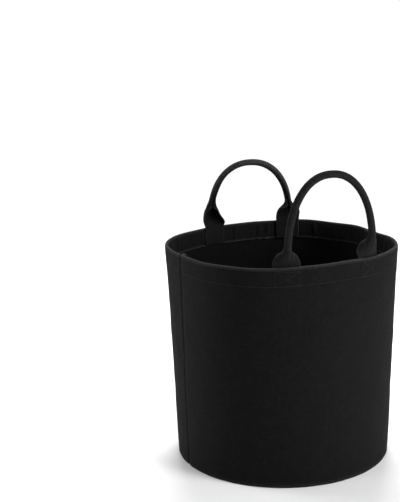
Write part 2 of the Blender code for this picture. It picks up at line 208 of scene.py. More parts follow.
# ---- small helpers

def smoothstep(value):
    """0 below 0, 1 above 1, and an even S between."""
    value = np.clip(value, 0.0, 1.0)
    return value * value * (3 - 2 * value)


def bell(distance, width):
    """1 at no distance, falling smoothly to nothing a few widths away."""
    return np.exp(-((distance / width) ** 2))


def unit(vectors):
    return vectors / np.maximum(np.linalg.norm(vectors, axis=-1, keepdims=True), 1e-12)


def relief(x, y, size, seed, count=10):
    """Smooth random relief, mostly from -1 to 1, whose bumps are about a size across."""
    random = np.random.default_rng(seed)
    total = 0.0
    for _ in range(count):
        turn, phase = random.uniform(0, 2 * pi, 2)
        length = size * random.uniform(1.2, 2.6)
        total = total + np.sin(2 * pi * (x * cos(turn) + y * sin(turn)) / length + phase)
    return total / sqrt(count)


def turned(points, angle):
    """Points turned about the bag's axis."""
    spin = np.array(Matrix.Rotation(angle, 3, "Z"))
    return points @ spin.T


def running_total(steps):
    """0, and then the sum of the steps up to and with each of them."""
    return np.concatenate([[0.0], np.cumsum(steps)])


def distances(path):
    """How far along a path each of its points is."""
    return running_total(np.linalg.norm(np.diff(path, axis=0), axis=1))


# ---- meshes

def make_piece(name, vertices, faces, attributes, material):
    """A smooth mesh object with float or vector attributes on its points."""
    mesh = bpy.data.meshes.new(name)
    mesh.from_pydata(vertices.tolist(), [], faces)
    mesh.validate()
    for key, values in attributes.items():
        kind, field = ("FLOAT_VECTOR", "vector") if values.ndim == 2 else ("FLOAT", "value")
        attribute = mesh.attributes.new(key, kind, "POINT")
        attribute.data.foreach_set(field, values.astype(np.float32).ravel())
    mesh.shade_smooth()
    mesh.materials.append(material)
    piece = bpy.data.objects.new(name, mesh)
    bpy.context.scene.collection.objects.link(piece)
    return piece


def grid_normals(points, closed):
    """Normals of a grid of points; closed joins its last column to its first."""
    if closed:
        around = np.concatenate([points[:, -1:], points, points[:, :1]], axis=1)
        across = np.gradient(around, axis=1)[:, 1:-1]
    else:
        across = np.gradient(points, axis=1)
    return unit(np.cross(across, np.gradient(points, axis=0)))


def grid_faces(rows, columns, closed, flip, offset):
    index = np.arange(rows * columns).reshape(rows, columns) + offset
    following = np.roll(index, -1, axis=1)
    if not closed:
        index, following = index[:, :-1], following[:, :-1]
    quads = np.stack([index[:-1], following[:-1], following[1:], index[1:]], axis=-1)
    quads = quads.reshape(-1, 4)
    return (quads[:, ::-1] if flip else quads).tolist()


def sheet_borders(rows, columns, closed):
    """Ordered runs of grid positions along the sheet's edges, each a closed ring."""
    index = np.arange(rows * columns).reshape(rows, columns)
    if closed:
        return [index[0][::-1], index[-1]]
    ring = [index[0, :-1], index[:-1, -1], index[-1, :0:-1], index[:0:-1, 0]]
    return [np.concatenate(ring)[::-1]]


# The rounding of a sheet's edges, as shares of its full or half thickness
EDGE_THICKNESS = 0.78
EDGE_SETBACK = 0.30
EDGE_BULGE = 0.22


def edge_outward(middle, closed, capped):
    """The way out of the sheet in its own plane, at the points on its free edges only."""
    outward = np.zeros_like(middle)
    if not capped:
        outward[0] += unit(middle[0] - middle[1])
    outward[-1] += unit(middle[-1] - middle[-2])
    if not closed:
        outward[:, 0] += unit(middle[:, 0] - middle[:, 1])
        outward[:, -1] += unit(middle[:, -1] - middle[:, -2])
    return unit(outward)


def felt_sheet(name, middle, thickness, cloth, wear_and_highlight, material, closed=False, capped=False):
    """A closed sheet of felt round a grid of middle points, with soft rounded edges.

    cloth holds each point's place on the flat cloth, and the array after it, from 0 to 1, how
    much lighter the felt is: rubbed in places, painted highlight and painted light in others.
    closed joins the columns into a ring, and capped fills the hole inside the first row.
    """
    rows, columns = middle.shape[:2]
    normals = grid_normals(middle, closed)
    half = np.broadcast_to(thickness, (rows, columns))[..., None] / 2
    outward = edge_outward(middle, closed, capped)
    softened = np.where(outward.any(axis=-1, keepdims=True), EDGE_THICKNESS, 1.0)
    pulled = middle - outward * half * EDGE_SETBACK
    front = (pulled + normals * half * softened).reshape(-1, 3)
    back = (pulled - normals * half * softened).reshape(-1, 3)
    rim = (middle + outward * half * EDGE_BULGE).reshape(-1, 3)
    count = rows * columns
    faces = grid_faces(rows, columns, closed, False, 0)
    faces += grid_faces(rows, columns, closed, True, count)
    points = [front, back]
    flat = cloth.reshape(-1, 2)
    coords = [np.column_stack([flat, np.full(count, layer)]) for layer in (0.0, 0.5)]
    worn_and_highlighted = [wear_and_highlight.ravel(), wear_and_highlight.ravel()]
    total = 2 * count
    borders = sheet_borders(rows, columns, closed)
    if capped:
        hole = borders.pop(0)
        faces += [hole.tolist(), (hole[::-1] + count).tolist()]
    for ring in borders:
        size = len(ring)
        points.append(rim[ring])
        coords.append(np.column_stack([flat[ring], np.full(size, 0.25)]))
        worn_and_highlighted.append(np.ones(size))
        for step in range(size):
            here, there = ring[step], ring[(step + 1) % size]
            rim_here, rim_there = total + step, total + (step + 1) % size
            faces.append([here, there, rim_there, rim_here])
            faces.append([rim_here, rim_there, there + count, here + count])
        total += size
    attributes = {"cloth": np.concatenate(coords), "wear_and_highlight": np.concatenate(worn_and_highlighted)}
    return make_piece(name, np.concatenate(points), faces, attributes, material)


def stitch_piece(name, stitches, material, proud=0.04 * MM, sink=0.5 * MM):
    """Separate stitches, each (start, end, normal of the felt), bowed and sunk at both ends."""
    starts, ends, normals = (np.array([stitch[part] for stitch in stitches]) for part in range(3))
    random = np.random.default_rng(len(stitches))
    along = ends - starts
    normals = unit(normals)
    side = unit(np.cross(normals, along))
    starts = starts + side * random.normal(0, STITCH_JITTER, (len(starts), 1))
    ends = ends + side * random.normal(0, STITCH_JITTER, (len(ends), 1))
    points, coords = [], []
    for section in range(STITCH_SECTIONS):
        share = section / (STITCH_SECTIONS - 1)
        off_middle = abs(2 * share - 1)
        lift = proud - (proud + sink) * off_middle ** 4
        thick = THREAD_RADIUS * (1 - 0.35 * off_middle ** 3)
        place = 0.5 + STITCH_SHARE * (share - 0.5)
        middle = starts + along * place + normals * lift
        for step in range(STITCH_SIDES):
            bend = 2 * pi * step / STITCH_SIDES
            points.append(middle + (side * cos(bend) + normals * sin(bend)) * thick)
            coords.append(np.tile((share * STITCH_LENGTH, bend * THREAD_RADIUS, 0.0), (len(starts), 1)))
    size = STITCH_SECTIONS * STITCH_SIDES
    vertices = np.stack(points, axis=1).reshape(-1, 3)
    cloth = np.stack(coords, axis=1)
    cloth[..., 2] = np.arange(len(starts))[:, None] * 0.01
    faces = []
    for number in range(len(starts)):
        first = number * size
        faces += grid_faces(STITCH_SECTIONS, STITCH_SIDES, True, False, first)
        faces.append(list(range(first + STITCH_SIDES - 1, first - 1, -1)))
        faces.append(list(range(first + size - STITCH_SIDES, first + size)))
    return make_piece(name, vertices, faces, {"cloth": cloth.reshape(-1, 3)}, material)


def stitch_run(path, normals, length=STITCH_LENGTH):
    """Stitches of an even length along a path of close points."""
    along = distances(path)
    count = max(1, round(along[-1] / length))
    at = np.linspace(0, along[-1], count + 1)
    holes = np.stack([np.interp(at, along, path[:, axis]) for axis in range(3)], axis=1)
    faces = np.stack([np.interp(at, along, normals[:, axis]) for axis in range(3)], axis=1)
    return [(a, b, m + n) for a, b, m, n in zip(holes, holes[1:], faces, faces[1:])]


# ---- materials

def new_material(name):
    material = bpy.data.materials.new(name)
    material.use_nodes = True
    tree = material.node_tree
    return material, tree, tree.nodes["Principled BSDF"]


def set_inputs(tree, node, inputs):
    """Sets each input to a value, or links it to another node's output."""
    for key, value in inputs.items():
        if isinstance(value, bpy.types.NodeSocket):
            tree.links.new(value, node.inputs[key])
        else:
            node.inputs[key].default_value = value


def add_node(tree, kind, inputs=None, **settings):
    """A node with its settings and inputs."""
    node = tree.nodes.new(kind)
    for key, value in settings.items():
        setattr(node, key, value)
    set_inputs(tree, node, inputs or {})
    return node


def calculate(tree, operation, first, second, third=0.0):
    """Output of one step of arithmetic on numbers or other nodes' outputs."""
    node = add_node(tree, "ShaderNodeMath", {0: first, 1: second, 2: third}, operation=operation)
    return node.outputs[0]


def remap(tree, value, low, high, to_low, to_high):
    """A value moved from one range to another, and kept inside it."""
    return add_node(tree, "ShaderNodeMapRange", {
        "Value": value, "From Min": low, "From Max": high, "To Min": to_low, "To Max": to_high,
    }).outputs["Result"]


def mix(tree, factor, first, second):
    """The first colour where the factor is 0, the second where it is 1."""
    node = add_node(tree, "ShaderNodeMix", {"Factor": factor, "A": first, "B": second},
                    data_type="RGBA")
    return node.outputs["Result"]


def noise_layer(tree, coords, scale, turn=0.0, detail=3.0, roughness=0.55, distortion=0.0):
    """Noise on the cloth, in features per metre along and across, turned on the cloth."""
    placed = add_node(tree, "ShaderNodeMapping", {
        "Vector": coords, "Rotation": (0, 0, turn), "Scale": (1 / scale[0], 1 / scale[1], 0.001),
    }, vector_type="TEXTURE")
    return add_node(tree, "ShaderNodeTexNoise", {
        "Vector": placed.outputs["Vector"], "Scale": 1.0, "Detail": detail,
        "Roughness": roughness, "Distortion": distortion,
    }).outputs["Fac"]


def felt_material(name, dark, light, worn_and_highlighted, fuzz):
    """Needle-punched felt: crossing fibres, cloudy shade, and a lighter tone, pilled and rubbed where
    the felt is worn, that also carries painted highlights and painted light.
    """
    material, tree, shader = new_material(name)
    coords = add_node(tree, "ShaderNodeAttribute", attribute_name="cloth").outputs["Vector"]
    wear_and_highlight = add_node(tree, "ShaderNodeAttribute", attribute_name="wear_and_highlight").outputs["Fac"]
    fibres = None
    for turn in (12, 58, 103, 151):
        layer = noise_layer(tree, coords, (340.0, 2300.0), radians(turn), 2.0, 0.6, 0.5)
        layer = remap(tree, layer, 0.54, 0.74, 0.0, 1.0)
        fibres = layer if fibres is None else calculate(tree, "MAXIMUM", fibres, layer)
    grain = noise_layer(tree, coords, (900.0, 900.0), 0.4, 4.0, 0.65)
    clouds = noise_layer(tree, coords, (55.0, 80.0), 0.2, 4.0, 0.6)
    lumps = noise_layer(tree, coords, (260.0, 330.0), 0.9, 3.0, 0.55)
    shade = calculate(tree, "MULTIPLY", remap(tree, clouds, 0.3, 0.7, 0.70, 1.30),
                      remap(tree, lumps, 0.3, 0.7, 0.62, 1.38))
    strength = calculate(tree, "MULTIPLY", fibres, shade)
    strength = calculate(tree, "MULTIPLY_ADD", grain, 0.55, strength)
    # The pull towards the worn colour follows the vertex attribute, so it paints highlights and light
    # as well as showing wear.
    rubbed_and_highlighted = calculate(tree, "MULTIPLY", wear_and_highlight, remap(tree, lumps, 0.35, 0.65, 0.55, 1.0))
    cloth = mix(tree, remap(tree, strength, 0.15, 1.25, 0.0, 1.0), (*dark, 1), (*light, 1))
    color = mix(tree, calculate(tree, "MULTIPLY", rubbed_and_highlighted, 0.55), cloth, (*worn_and_highlighted, 1))
    height = calculate(tree, "MULTIPLY_ADD", fibres, 0.45, calculate(tree, "MULTIPLY", grain, 0.6))
    height = calculate(tree, "MULTIPLY_ADD", lumps, 1.1, height)
    bump = add_node(tree, "ShaderNodeBump", {"Strength": 0.75, "Distance": 0.45 * MM, "Height": height})
    set_inputs(tree, shader, {
        "Base Color": color, "Roughness": remap(tree, strength, 0.0, 1.2, 1.0, 0.82),
        "Normal": bump.outputs["Normal"], "Specular IOR Level": 0.045, "Sheen Weight": fuzz,
        "Sheen Roughness": 0.45, "Sheen Tint": (0.86, 0.9, 1.0, 1.0),
    })
    return material


def thread_material():
    """Twisted polyester sewing thread."""
    material, tree, shader = new_material("sewing_thread")
    coords = add_node(tree, "ShaderNodeAttribute", attribute_name="cloth").outputs["Vector"]
    placed = add_node(tree, "ShaderNodeMapping", {
        "Vector": coords, "Rotation": (0, 0, radians(38)), "Scale": (1100.0, 1100.0, 1100.0),
    })
    plies = add_node(tree, "ShaderNodeTexWave", {
        "Vector": placed.outputs["Vector"], "Scale": 0.6, "Distortion": 0.8, "Detail": 2.0,
    }, wave_type="BANDS", bands_direction="X").outputs["Fac"]
    color = mix(tree, plies, (0.0035, 0.0035, 0.0038, 1), (0.010, 0.010, 0.0105, 1))
    bump = add_node(tree, "ShaderNodeBump", {"Strength": 0.6, "Distance": 0.1 * MM, "Height": plies})
    set_inputs(tree, shader, {
        "Base Color": color, "Roughness": remap(tree, plies, 0.0, 1.0, 0.75, 0.6),
        "Normal": bump.outputs["Normal"], "Specular IOR Level": 0.2,
    })
    return material


def floor_material():
    """A matt white studio sweep, very slightly uneven."""
    material, tree, shader = new_material("studio_floor")
    coords = add_node(tree, "ShaderNodeTexCoord").outputs["Object"]
    tone = add_node(tree, "ShaderNodeTexNoise", {"Vector": coords, "Scale": 3.0}).outputs["Fac"]
    color = mix(tree, tone, (0.90, 0.90, 0.90, 1), (0.93, 0.93, 0.93, 1))
    set_inputs(tree, shader, {"Base Color": color, "Roughness": 0.9, "Specular IOR Level": 0.1})
    return material


# ---- wall

def wall_radius(angle, height):
    """Distance from the bag's axis to the outer face: round at the base, squarer at the rim."""
    rise = height / RIM_HEIGHT
    radius = BASE_RADIUS + (RIM_RADIUS - BASE_RADIUS) * rise
    wave = RIM_SKEW * np.sin(2 * angle)
    wave = wave - RIM_SQUARENESS * np.cos(4 * angle) - RIM_RIPPLE * np.cos(6 * angle)
    return radius * (1 + rise * wave)


def wall_station(angle, height):
    """Point on the outer face and the direction into the bag, both in plan."""
    step = 0.001
    radius = wall_radius(angle, height)
    slope = (wall_radius(angle + step, height) - wall_radius(angle - step, height)) / (2 * step)
    point = np.stack([radius * np.cos(angle), radius * np.sin(angle)], axis=-1)
    along_x = slope * np.cos(angle) - point[..., 1]
    along_y = slope * np.sin(angle) + point[..., 0]
    return point, unit(np.stack([-along_y, along_x], axis=-1))


def seam_allowance(height):
    """Width of the side allowances, trimmed back at the foot to leave room for the base."""
    share = smoothstep((height - TRIMMED_HEIGHT) / TRIM_LENGTH)
    return TRIMMED_ALLOWANCE + (SEAM_ALLOWANCE - TRIMMED_ALLOWANCE) * share


def seam_corner(height, mirror):
    """Angle of the wall, turn and X where the outer face leaves the wall at a side seam."""
    angle = SEAM_CORNER_RADIUS / BASE_RADIUS
    for _ in range(4):
        point, inward = wall_station(angle if mirror == 1 else pi - angle, height)
        turn = atan2(-inward[0] * mirror, inward[1])
        reach = np.linalg.norm(point)
        angle = asin((SEAM_FLAT_Y + SEAM_CORNER_RADIUS * (1 - cos(turn))) / reach)
    return angle, turn, abs(point[0]) - SEAM_CORNER_RADIUS * sin(turn)


def seam_lie(height, share):
    """How far the two allowances lie over to the back together, at a share of their width."""
    return SEAM_LIE * seam_allowance(height) / SEAM_ALLOWANCE * np.sin(pi * share) ** 2


def seam_stations(height, mirror, side):
    """Plan points and inward directions from the allowance's edge round the seam corner."""
    _, turn, corner_x = seam_corner(height, mirror)
    edge_x = corner_x + SEAM_CORNER_RADIUS - seam_allowance(height)
    over = 1 if side == "back" else -1
    points, inward = [], []
    for step in range(FLAT_COLUMNS):
        share = step / FLAT_COLUMNS
        y = SEAM_FLAT_Y + over * seam_lie(height, share)
        points.append(((edge_x + (corner_x - edge_x) * share) * mirror, y))
        inward.append((0.0, 1.0))
    for step in range(CORNER_COLUMNS):
        bend = turn * step / CORNER_COLUMNS
        x = corner_x + SEAM_CORNER_RADIUS * sin(bend)
        points.append((x * mirror, SEAM_FLAT_Y + SEAM_CORNER_RADIUS * (1 - cos(bend))))
        inward.append((-sin(bend) * mirror, cos(bend)))
    return np.array(points), np.array(inward)


def panel_angles(height):
    """Angles of a panel's columns between its two seam corners."""
    first = seam_corner(height, 1)[0]
    last = pi - seam_corner(height, -1)[0]
    return np.linspace(first, last, PANEL_COLUMNS + 1)


def box_lines(across, up):
    """Distance to the nearest line of a box stitch, from its middle, in metres."""
    wide, tall = BOX_STITCH_WIDTH / 2, BOX_STITCH_HEIGHT / 2
    inside = (np.abs(across) < wide + 1 * MM) & (np.abs(up) < tall + 1 * MM)
    frame_line = np.minimum(np.abs(np.abs(across) - wide), np.abs(np.abs(up) - tall))
    slope = tall / wide
    cross = np.abs(np.abs(up) - np.abs(across) * slope) / sqrt(1 + slope * slope)
    return np.where(inside, np.minimum(frame_line, cross), 1.0)


def across_tails(angle, side):
    """How far round the panel a place is from the middle of each of its strap's two tails."""
    handle = HANDLES[side + "_handle"]
    turns = [handle[end]["angle"] + PANEL_TURN[side] for end in ("left", "right")]
    return [(angle - turn) * RIM_RADIUS for turn in turns]


def wall_groove(angle, height, side):
    """From 0 to 1, how far the thread pulls the felt in at a place on a panel.

    angle is measured on the panel, from its +X seam, before the panel is turned into place.
    """
    pitch = (pi * RIM_RADIUS) / (PANEL_COLUMNS / COLUMNS_PER_STITCH)
    at_hole = 0.5 + 0.5 * np.cos(2 * pi * angle * RIM_RADIUS / pitch)
    rim_row = bell(height - (RIM_HEIGHT - TOPSTITCH_DROP), GROOVE_WIDTH)
    hem_row = bell(height - (RIM_HEIGHT - HEM_STITCH_DROP), GROOVE_WIDTH)
    groove = np.maximum(rim_row, hem_row) * (BETWEEN_STITCHES + (1 - BETWEEN_STITCHES) * at_hole)
    for across in across_tails(angle, side):
        distance = box_lines(across, height - BOX_MIDDLE)
        groove = np.maximum(groove, 0.8 * bell(distance, GROOVE_WIDTH))
    return groove


def tail_mark(angle, height, side):
    """From 0 to 1, where a strap's tail behind the hem pushes the wall out."""
    edge = HANDLES[side + "_handle"]["tail_width"] / 2 + 1 * MM
    upright = smoothstep((height - RIM_HEIGHT - TAIL_BOTTOM + 1 * MM) / (1.5 * MM))
    within = [smoothstep((edge - np.abs(across)) / (1.5 * MM)) for across in across_tails(angle, side)]
    return sum(within) * upright


def wall_swell(angle, height, side):
    """How far the felt stands outside its plain shape, from handling and from the way it hangs."""
    seed = SEEDS[side]["swell"]
    around = angle * RIM_RADIUS
    free = smoothstep(height / (60 * MM)) * np.sin(np.clip(angle, 0, pi)) ** 0.5
    swell = PANEL_SWELL * relief(around, height * 0.7, PANEL_SWELL_SIZE, seed) * free
    swell = swell + PANEL_DENTS * relief(around, height, PANEL_DENT_SIZE, seed + 1)
    swell = swell + PANEL_NAP * relief(around, height, PANEL_NAP_SIZE, seed + 2)
    step = smoothstep((height - HEM_EDGE + 1.5 * MM) / (3 * MM))
    return swell + HEM_MARK * step + TAIL_MARK * tail_mark(angle, height, side)


def rim_lift(angle, height, side):
    """Slow unevenness of the rim's height."""
    share = smoothstep((height - (RIM_HEIGHT - 60 * MM)) / (60 * MM))
    wave = relief(angle * RIM_RADIUS, 0 * angle, RIM_WAVE_SIZE, SEEDS[side]["rim"])
    return share * RIM_WAVE * wave


def hem_pleats(angle, height, side):
    """How far the inside of the hem stands proud in wrinkles and pleats."""
    seed = SEEDS[side]["pleats"]
    random = np.random.default_rng(seed)
    around = angle * RIM_RADIUS
    down = RIM_HEIGHT - height
    drop = (down - TOPSTITCH_DROP) / (HEM_STITCH_DROP - TOPSTITCH_DROP)
    between = np.sin(pi * np.clip(drop, 0, 1)) ** 0.6
    free = smoothstep((down - HEM_STITCH_DROP) / (3 * MM)) * 0.7
    pleats = HEM_WRINKLE * relief(around, height * 0.25, HEM_WRINKLE_SIZE, seed)
    for share in np.linspace(0.06, 0.97, PLEATS):
        place = share * pi * RIM_RADIUS + random.uniform(-7, 7) * MM
        width = random.uniform(1.4, 2.8) * MM
        size = random.uniform(0.25, 1.0) ** 1.3 * PLEAT_HEIGHT
        lean = random.uniform(-0.18, 0.18)
        offset = around - place - lean * (down - HEM_HEIGHT / 2)
        ridge = bell(offset, width) - 0.5 * bell(offset - 2.2 * width, width)
        pleats = pleats + size * ridge
    return pleats * np.maximum(between, free)


def fold_rows(level, way):
    """Profile rows round a half-circle fold: way is 1 down at the foot and -1 up at the rim."""
    middle = WALL_DEPTH + FOLD_RADIUS
    return [(level - way * FOLD_RADIUS * sin(bend), middle + way * FOLD_RADIUS * cos(bend),
             0.5 + way * 0.5 * cos(bend)) for bend in np.linspace(0, pi, 8)]


def panel_profile():
    """(height, depth, layer) rows of a panel from the top of its foot allowance to its hem edge.

    layer is 0 on the outside and 1 on the inside of a fold.
    """
    foot_z = FELT / 2 + FOLD_RADIUS
    rim_z = RIM_HEIGHT - foot_z
    rows = [(height, HEM_DEPTH, 1.0) for height in np.linspace(FOOT_HEIGHT, foot_z, 4)[:-1]]
    rows += fold_rows(foot_z, 1)
    plain = np.linspace(foot_z, HEM_EDGE - 4 * MM, 58)[1:]
    sewn = np.linspace(HEM_EDGE - 4 * MM, rim_z, 29)[1:-1]
    rows += [(height, WALL_DEPTH, 0.0) for height in np.concatenate([plain, sewn])]
    rows += fold_rows(rim_z, -1)
    rows += [(height, HEM_DEPTH, 1.0) for height in np.linspace(rim_z, HEM_EDGE, 25)[1:]]
    return np.array(rows)


def panel_middle(angle, plan, inward, height, depth, layer, side):
    """Middle points of a panel's felt and its thickness, with stitches, pleats and swell."""
    groove = wall_groove(angle, height, side)
    shift = groove * (GROOVE_DEPTH * (1 - layer) - HEM_GROOVE_DEPTH * layer)
    in_hem = smoothstep((height - (HEM_EDGE - 1 * MM)) / (1 * MM)) * layer
    proud = hem_pleats(angle, height, side) * in_hem ** 4 * (1 - tail_mark(angle, height, side))
    reach = depth + shift + proud - wall_swell(angle, height, side)
    flat = plan + inward * reach[..., None]
    level = height + rim_lift(angle, height, side)
    thickness = FELT * (1 - groove * (WALL_SQUEEZE * (1 - layer) + HEM_SQUEEZE * layer))
    return np.concatenate([flat, level[..., None]], axis=-1), thickness


def make_wall_panel(side, material):
    """One wall panel, from its foot turned in under the base to its turned-over rim."""
    profile = panel_profile()
    plans, inwards, angles = [], [], []
    for height, _, _ in profile:
        first, first_in = seam_stations(height, 1, side)
        last, last_in = seam_stations(height, -1, side)
        around = panel_angles(height)
        point, inward = wall_station(around, height)
        plans.append(np.concatenate([first, point, last[::-1]]))
        inwards.append(np.concatenate([first_in, inward, last_in[::-1]]))
        spare = np.linspace(-ALLOWANCE_ANGLE, 0, len(first) + 1)[:-1]
        angles.append(np.concatenate([around[0] + spare, around, around[-1] - spare[::-1]]))
    plan, inward, angle = np.array(plans), np.array(inwards), np.array(angles)
    height, depth, layer = (np.broadcast_to(part[:, None], angle.shape) for part in profile.T)
    middle, thickness = panel_middle(angle, plan, inward, height, depth, layer, side)
    middle = turned(middle, PANEL_TURN[side])
    run = distances(middle[:, PANEL_COLUMNS // 2])
    across = distances(plan[MEASURED_ROW])
    cloth = np.stack(np.meshgrid(across, run), axis=-1)
    # Lightening that goes into the felt's colour: along the rim fold and the hem's cut edge it is
    # partly rubbing and partly painted highlight; along the seam corners it is a painted highlight on
    # the seam's ridge; the small even amount on the whole inner layer is painted light inside the bag;
    # at the foot it is wear.
    fold = bell(height - RIM_HEIGHT, 1.9 * MM)
    foot = bell(height, 2.2 * MM)
    corner = bell((np.minimum(angle, pi - angle) - 0.01) * RIM_RADIUS, 3.5 * MM)
    hem_cut = bell(height - HEM_EDGE, 1.5 * MM) * layer
    wear_and_highlight = np.clip(fold + 0.7 * foot + 0.35 * corner * (1 - layer) + hem_cut + 0.06 * layer, 0, 1)
    panel = felt_sheet(f"{side}_wall", middle, thickness, cloth, wear_and_highlight, material)
    return panel, (across[-1], run[-1])


def wall_face(angle, height, side, inside):
    """Points on a panel's outer face, or on the inside of its hem, and the way they face."""
    angle, height = np.broadcast_arrays(angle, height)
    plan, inward = wall_station(angle, height)
    layer = np.full(angle.shape, 1.0 if inside else 0.0)
    depth = np.full(angle.shape, HEM_DEPTH if inside else WALL_DEPTH)
    middle, thickness = panel_middle(angle, plan, inward, height, depth, layer, side)
    facing = np.concatenate([inward, np.zeros((*angle.shape, 1))], axis=-1) * (1 if inside else -1)
    points = middle + facing * thickness[..., None] / 2
    return turned(points, PANEL_TURN[side]), turned(facing, PANEL_TURN[side])


def make_wall_stitches(name, side, drop, material):
    """A row of lockstitches through the hem, seen from outside and from inside."""
    height = RIM_HEIGHT - drop
    angles = np.linspace(0.045, pi - 0.045, 700)
    stitches = []
    for inside in (False, True):
        path, facing = wall_face(angles, height, side, inside)
        stitches += stitch_run(path, facing)
    return stitch_piece(name, stitches, material)


def make_side_seam(name, turn, material):
    """The seam through both panels' allowances, on both of their inner faces."""
    share = (SEAM_ALLOWANCE - SIDE_STITCH_INSET) / (SEAM_ALLOWANCE - SEAM_CORNER_RADIUS)
    over = seam_lie(HEM_EDGE, share) * (1 if turn == 0 else -1)
    heights = np.linspace(17 * MM, HEM_EDGE - 2 * MM, 300)
    stitches = []
    for face in (1, -1):
        x = wall_radius(0.0, heights) - SIDE_STITCH_INSET
        y = np.full(len(heights), (SEAM_FLAT_Y + FELT) * face + over)
        facing = np.tile((0.0, float(face), 0.0), (len(heights), 1))
        stitches += stitch_run(np.stack([x, y, heights], axis=1), facing)
    turned_in = [tuple(turned(part, turn) for part in stitch) for stitch in stitches]
    return stitch_piece(name, turned_in, material)


# ---- base

def make_base(material):
    """A felt disc turned up at its edge, with its middle a little uneven."""
    edge, corner = BASE_EDGE_RADIUS - FELT / 2, BASE_CORNER_RADIUS - FELT / 2
    centre = edge - corner
    flat = [(radius, FELT / 2) for radius in np.linspace(3 * MM, centre, 46)[:-1]]
    bends = np.linspace(0, pi / 2, 6)
    turn = [(centre + corner * sin(bend), FELT / 2 + corner * (1 - cos(bend))) for bend in bends]
    up = [(edge, height) for height in np.linspace(FELT / 2 + corner, BASE_EDGE_HEIGHT, 6)[1:]]
    section = np.array(flat + turn + up)
    around = np.linspace(0, 2 * pi, 320, endpoint=False)
    radius = section[:, 0, None] * np.ones(len(around))
    x, y = radius * np.cos(around), radius * np.sin(around)
    loose = smoothstep((centre - radius) / (12 * MM))
    rise = BASE_WAVE * (1 + relief(x, y, BASE_WAVE_SIZE, BASE_SEED)) * loose
    z = section[:, 1, None] + np.clip(rise, 0, None)
    middle = np.stack([x, y, z], axis=-1)
    wear_and_highlight = bell(radius - edge, 2.5 * MM) * 0.6
    run = section[0, 0] + distances(section)
    cloth = np.stack([run[:, None] * np.cos(around), run[:, None] * np.sin(around)], axis=-1)
    base = felt_sheet("base", middle, FELT, cloth, wear_and_highlight, material, closed=True, capped=True)
    return base, run[-1]


def make_base_seam(material):
    """The seam through the base's turned-up edge, seen from inside."""
    around = np.linspace(0, 2 * pi, 900)
    radius = BASE_EDGE_RADIUS - FELT
    height = np.full(len(around), BASE_STITCH_HEIGHT)
    path = np.stack([radius * np.cos(around), radius * np.sin(around), height], axis=1)
    facing = np.stack([-np.cos(around), -np.sin(around), 0 * around], axis=1)
    return stitch_piece("base_seam_stitches", stitch_run(path, facing), material)


# ---- handles

def handle_frame(name, handle):
    """The handle's hinge point, its axes (X along the hinge, Y into the bag, Z up) and its legs.

    The legs are under -1 and 1, as their ends lie on X. Each has its end's own settings, its
    distance from the hinge point, and the turn from Y to the way that its tail faces.
    """
    joint = next(joint for joint in frame["joints"] if joint["name"] == name + "_swing")
    origin = np.array(joint["pos_m"], float)
    axis = unit(np.array(joint["axis"], float))
    up = np.array((0.0, 0.0, 1.0))
    into = np.cross(up, axis)
    legs = {}
    for end in ("left", "right"):
        plan, inward = wall_station(handle[end]["angle"], RIM_HEIGHT)
        place = np.array((*(plan + inward * TAIL_DEPTH), origin[2])) - origin
        side = handle["side"] * (1 if end == "right" else -1)
        legs[side] = {
            **handle[end], "side": side, "distance": abs(place @ axis),
            "turn": acos(min(1.0, inward @ into[:2])),
        }
    return origin, np.array((axis, into, up)), legs


def arch_point(angle, handle):
    """Middle of the upright strap at an angle round its arch, a superellipse, from -X to +X."""
    power = 2 / ARCH_FULLNESS
    climb = ARCH_HEIGHT * sin(angle) ** power
    across = ARCH_HALF_WIDTH * abs(cos(angle)) ** power
    across = across if angle > pi / 2 else -across
    across += handle["shift"] + handle["sway"] * climb
    return np.array((across, 0.0, ARCH_BASE + climb - HINGE_HEIGHT))


def arch_angle(rise):
    """The angle round the arch where its first half reaches a rise above the rim."""
    return asin((max(0.0, rise - ARCH_BASE) / ARCH_HEIGHT) ** (ARCH_FULLNESS / 2))


def leg_point(rise, leg, handle):
    """Middle of one leg of the upright strap at a rise above the rim."""
    climb = arch_angle(rise)
    arch = arch_point(climb if leg["side"] == -1 else pi - climb, handle)[0]
    settled = float(smoothstep(rise / SETTLE_LENGTH))
    across = leg["side"] * leg["distance"] * (1 - settled) + arch * settled
    return np.array((across, 0.0, rise - HINGE_HEIGHT))


def leaned(point, lean):
    """A point of the upright handle once the strap has bent over along an even curve."""
    rise = point[2] + HINGE_HEIGHT
    steps = np.linspace(0, 1, BEND_STEPS + 1)
    tilt = lean * smoothstep((steps[1:] + steps[:-1]) / 2)
    reach = running_total(-np.sin(tilt)) * BEND_LENGTH / BEND_STEPS
    climb = running_total(np.cos(tilt)) * BEND_LENGTH / BEND_STEPS
    past = max(0.0, rise - BEND_LENGTH)
    along = min(rise / BEND_LENGTH, 1.0)
    return np.array((point[0], point[1] + np.interp(along, steps, reach) - past * sin(lean),
                     np.interp(along, steps, climb) + past * cos(lean) - HINGE_HEIGHT))


